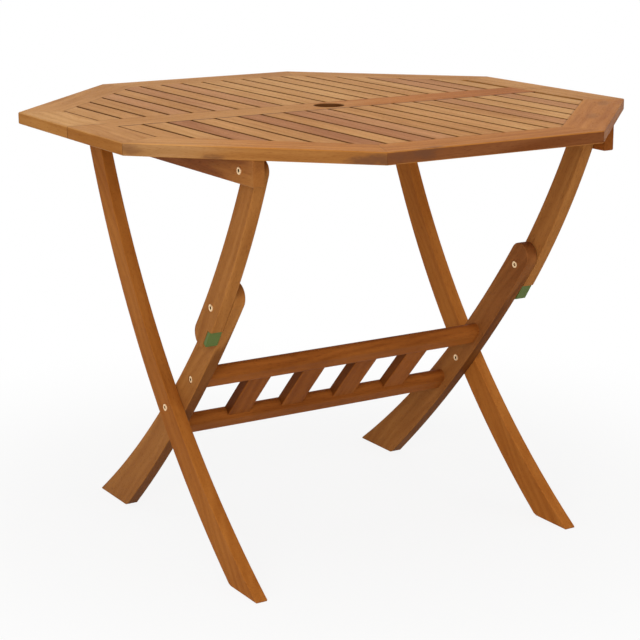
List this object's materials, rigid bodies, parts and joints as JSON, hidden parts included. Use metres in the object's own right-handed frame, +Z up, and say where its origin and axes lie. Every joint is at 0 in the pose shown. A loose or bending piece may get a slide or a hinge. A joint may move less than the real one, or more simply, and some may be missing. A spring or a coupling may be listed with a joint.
{
  "type": "folding garden table",
  "caption": "Octagonal slatted wooden garden table with a parasol hole, curved crossed legs that fold at a stopped knee, and a ladder lattice between the inner legs.",
  "frame": {"origin": "on the floor under the middle of the octagonal top", "axes": "+Z up; +X along the centre rail, across the table from one leg side to the other; +Y to the far side, over the feet of the lower legs"},
  "size_m": [0.99, 0.99, 0.75],
  "materials": {
    "top_wood": "oiled golden to pinkish brown hardwood",
    "leg_wood": "oiled reddish brown hardwood",
    "stop_plastic": "matt green moulded plastic",
    "pivot_brass": "dull pale brass plating"
  },
  "bodies": {
    "tabletop": {"frame_board_far": "top_wood", "frame_board_far_left": "top_wood", "frame_board_far_right": "top_wood", "frame_board_near": "top_wood", "frame_board_near_left": "top_wood", "frame_board_near_right": "top_wood", "side_board_left_far": "top_wood", "side_board_left_near": "top_wood", "side_board_right_far": "top_wood", "side_board_right_near": "top_wood", "centre_rail": "top_wood", "slat_pair_01": "top_wood", "slat_pair_02": "top_wood", "slat_pair_03": "top_wood", "slat_pair_04": "top_wood", "slat_pair_05": "top_wood", "slat_pair_06": "top_wood", "slat_pair_07": "top_wood", "slat_pair_08": "top_wood", "slat_pair_09": "top_wood", "slat_pair_10": "top_wood", "slat_pair_11": "top_wood", "slat_pair_12": "top_wood", "slat_pair_13": "top_wood", "slat_pair_14": "top_wood", "slat_pair_15": "top_wood", "slat_pair_16": "top_wood", "slat_pair_17": "top_wood", "slat_pair_18": "top_wood", "slat_pair_19": "top_wood", "batten_left": "leg_wood", "batten_right": "leg_wood", "top_pivot_bolts": "pivot_brass"},
    "outer_legs": {"outer_leg_left": "leg_wood", "outer_leg_right": "leg_wood", "crossing_bolts": "pivot_brass"},
    "upper_legs": {"upper_leg_left": "leg_wood", "upper_leg_right": "leg_wood", "knee_bolts": "pivot_brass"},
    "lower_legs": {"lower_leg_left": "leg_wood", "lower_leg_right": "leg_wood", "lattice_rail_upper": "leg_wood", "lattice_rail_lower": "leg_wood", "lattice_slat_1": "leg_wood", "lattice_slat_2": "leg_wood", "lattice_slat_3": "leg_wood", "lattice_slat_4": "leg_wood", "knee_stop_left": "stop_plastic", "knee_stop_right": "stop_plastic", "crossing_sleeves": "pivot_brass", "lattice_bolts": "pivot_brass"}
  },
  "joints": [
    {"name": "upper_legs_fold", "type": "hinge", "parent": "tabletop", "child": "upper_legs", "pos_m": [0, -0.307, 0.709], "axis": [1, 0, 0], "range_deg": [0, 49]},
    {"name": "outer_legs_fold", "type": "hinge", "parent": "tabletop", "child": "outer_legs", "pos_m": [0, 0.277, 0.709], "axis": [1, 0, 0], "range_deg": [-25, 0]},
    {"name": "knee_fold", "type": "hinge", "parent": "upper_legs", "child": "lower_legs", "pos_m": [0, -0.171, 0.464], "axis": [1, 0, 0], "range_deg": [-117, 0]}
  ],
  "couplings": [
    {"joint": "outer_legs_fold", "follows": "upper_legs_fold", "ratio": -0.50986},
    {"joint": "knee_fold", "follows": "upper_legs_fold", "ratio": -2.3859}
  ]
}
